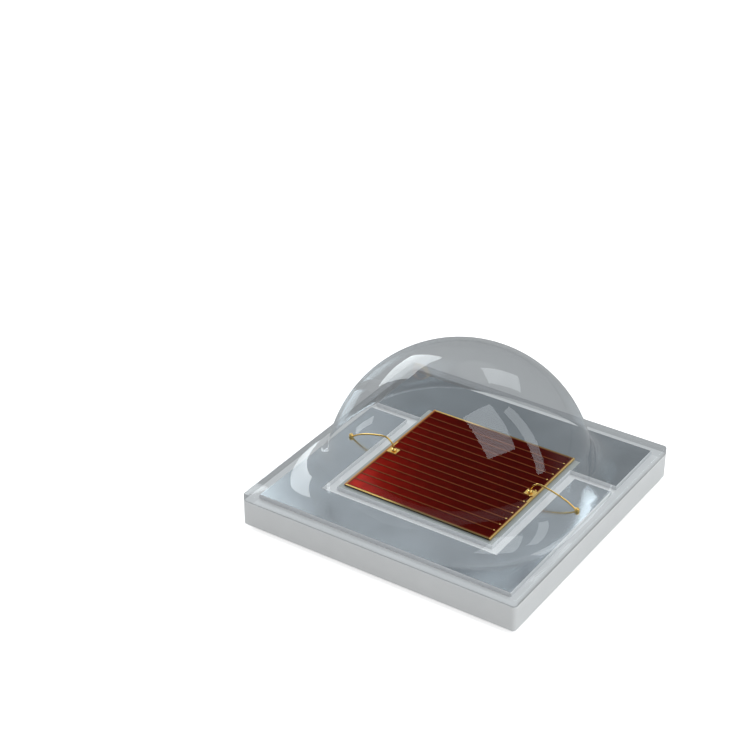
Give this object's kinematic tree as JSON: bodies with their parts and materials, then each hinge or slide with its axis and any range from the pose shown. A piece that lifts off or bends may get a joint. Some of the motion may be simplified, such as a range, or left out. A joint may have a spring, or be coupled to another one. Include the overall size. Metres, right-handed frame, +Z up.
{
  "type": "surface mount led",
  "caption": "Square ceramic surface mount grow light LED: a deep red chip with gold wires under a clear silicone dome, and flat solder pads underneath.",
  "frame": {"origin": "centre of the underside, in the plane of the solder pads' faces", "axes": "+Z up through the dome, +X along the bond wires, -Y towards the front strip of the wire side trace"},
  "size_m": [0.0034, 0.0034, 0.0019],
  "materials": {
    "ceramic": "satin white alumina",
    "silvered_copper": "smooth silver plate on copper",
    "solder_pad_silver": "mirror smooth silver plate",
    "copper": "plated copper",
    "die_attach_solder": "satin solder",
    "chip_carrier": "dark polished semiconductor",
    "chip_mirror": "gold mirror film",
    "chip_red": "deep red polished semiconductor",
    "bond_gold": "bright gold",
    "clear_silicone": "water clear, glossy"
  },
  "bodies": {
    "root": {"ceramic_base": "ceramic", "wire_side_trace": "silvered_copper", "chip_side_trace": "silvered_copper", "wire_side_solder_pad": "solder_pad_silver", "thermal_solder_pad": "solder_pad_silver", "chip_side_solder_pad": "solder_pad_silver", "copper_via_1": "copper", "copper_via_2": "copper", "copper_via_3": "copper", "copper_via_4": "copper", "copper_via_5": "copper", "copper_via_6": "copper", "die_attach_layer": "die_attach_solder", "chip_carrier": "chip_carrier", "chip_mirror_layer": "chip_mirror", "chip_emitting_layer": "chip_red", "chip_contact_grid": "bond_gold", "bond_wire_left": "bond_gold", "bond_wire_right": "bond_gold", "security_ball_left": "bond_gold", "security_ball_right": "bond_gold", "silicone_lens": "clear_silicone"}
  },
  "joints": []
}
